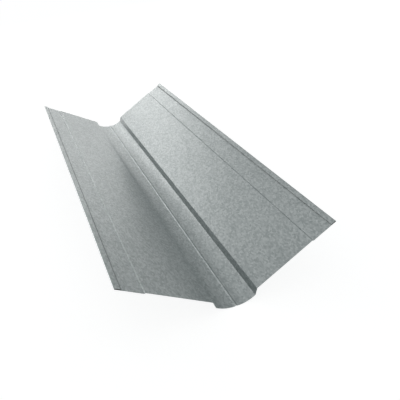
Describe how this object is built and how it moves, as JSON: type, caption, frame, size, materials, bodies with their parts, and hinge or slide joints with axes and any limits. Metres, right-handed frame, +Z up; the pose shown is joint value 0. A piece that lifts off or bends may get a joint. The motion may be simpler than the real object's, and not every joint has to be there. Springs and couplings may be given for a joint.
{
  "type": "valley flashing",
  "caption": "Folded sheet-metal valley flashing: sloping wings with hemmed outer edges, meeting in a stepped, curved channel with a raised centre bead.",
  "frame": {"origin": "on the floor, under the middle of the piece: the centre of the bottom of its box", "axes": "+Y along the valley, +X across it from wing to wing, +Z up and out of the channel"},
  "size_m": [0.4718, 1.25, 0.1351],
  "materials": {
    "coated_steel": "bare metal-coated steel sheet, matt grey with a fine spangle"
  },
  "bodies": {
    "root": {"valley_sheet": "coated_steel"}
  },
  "joints": []
}
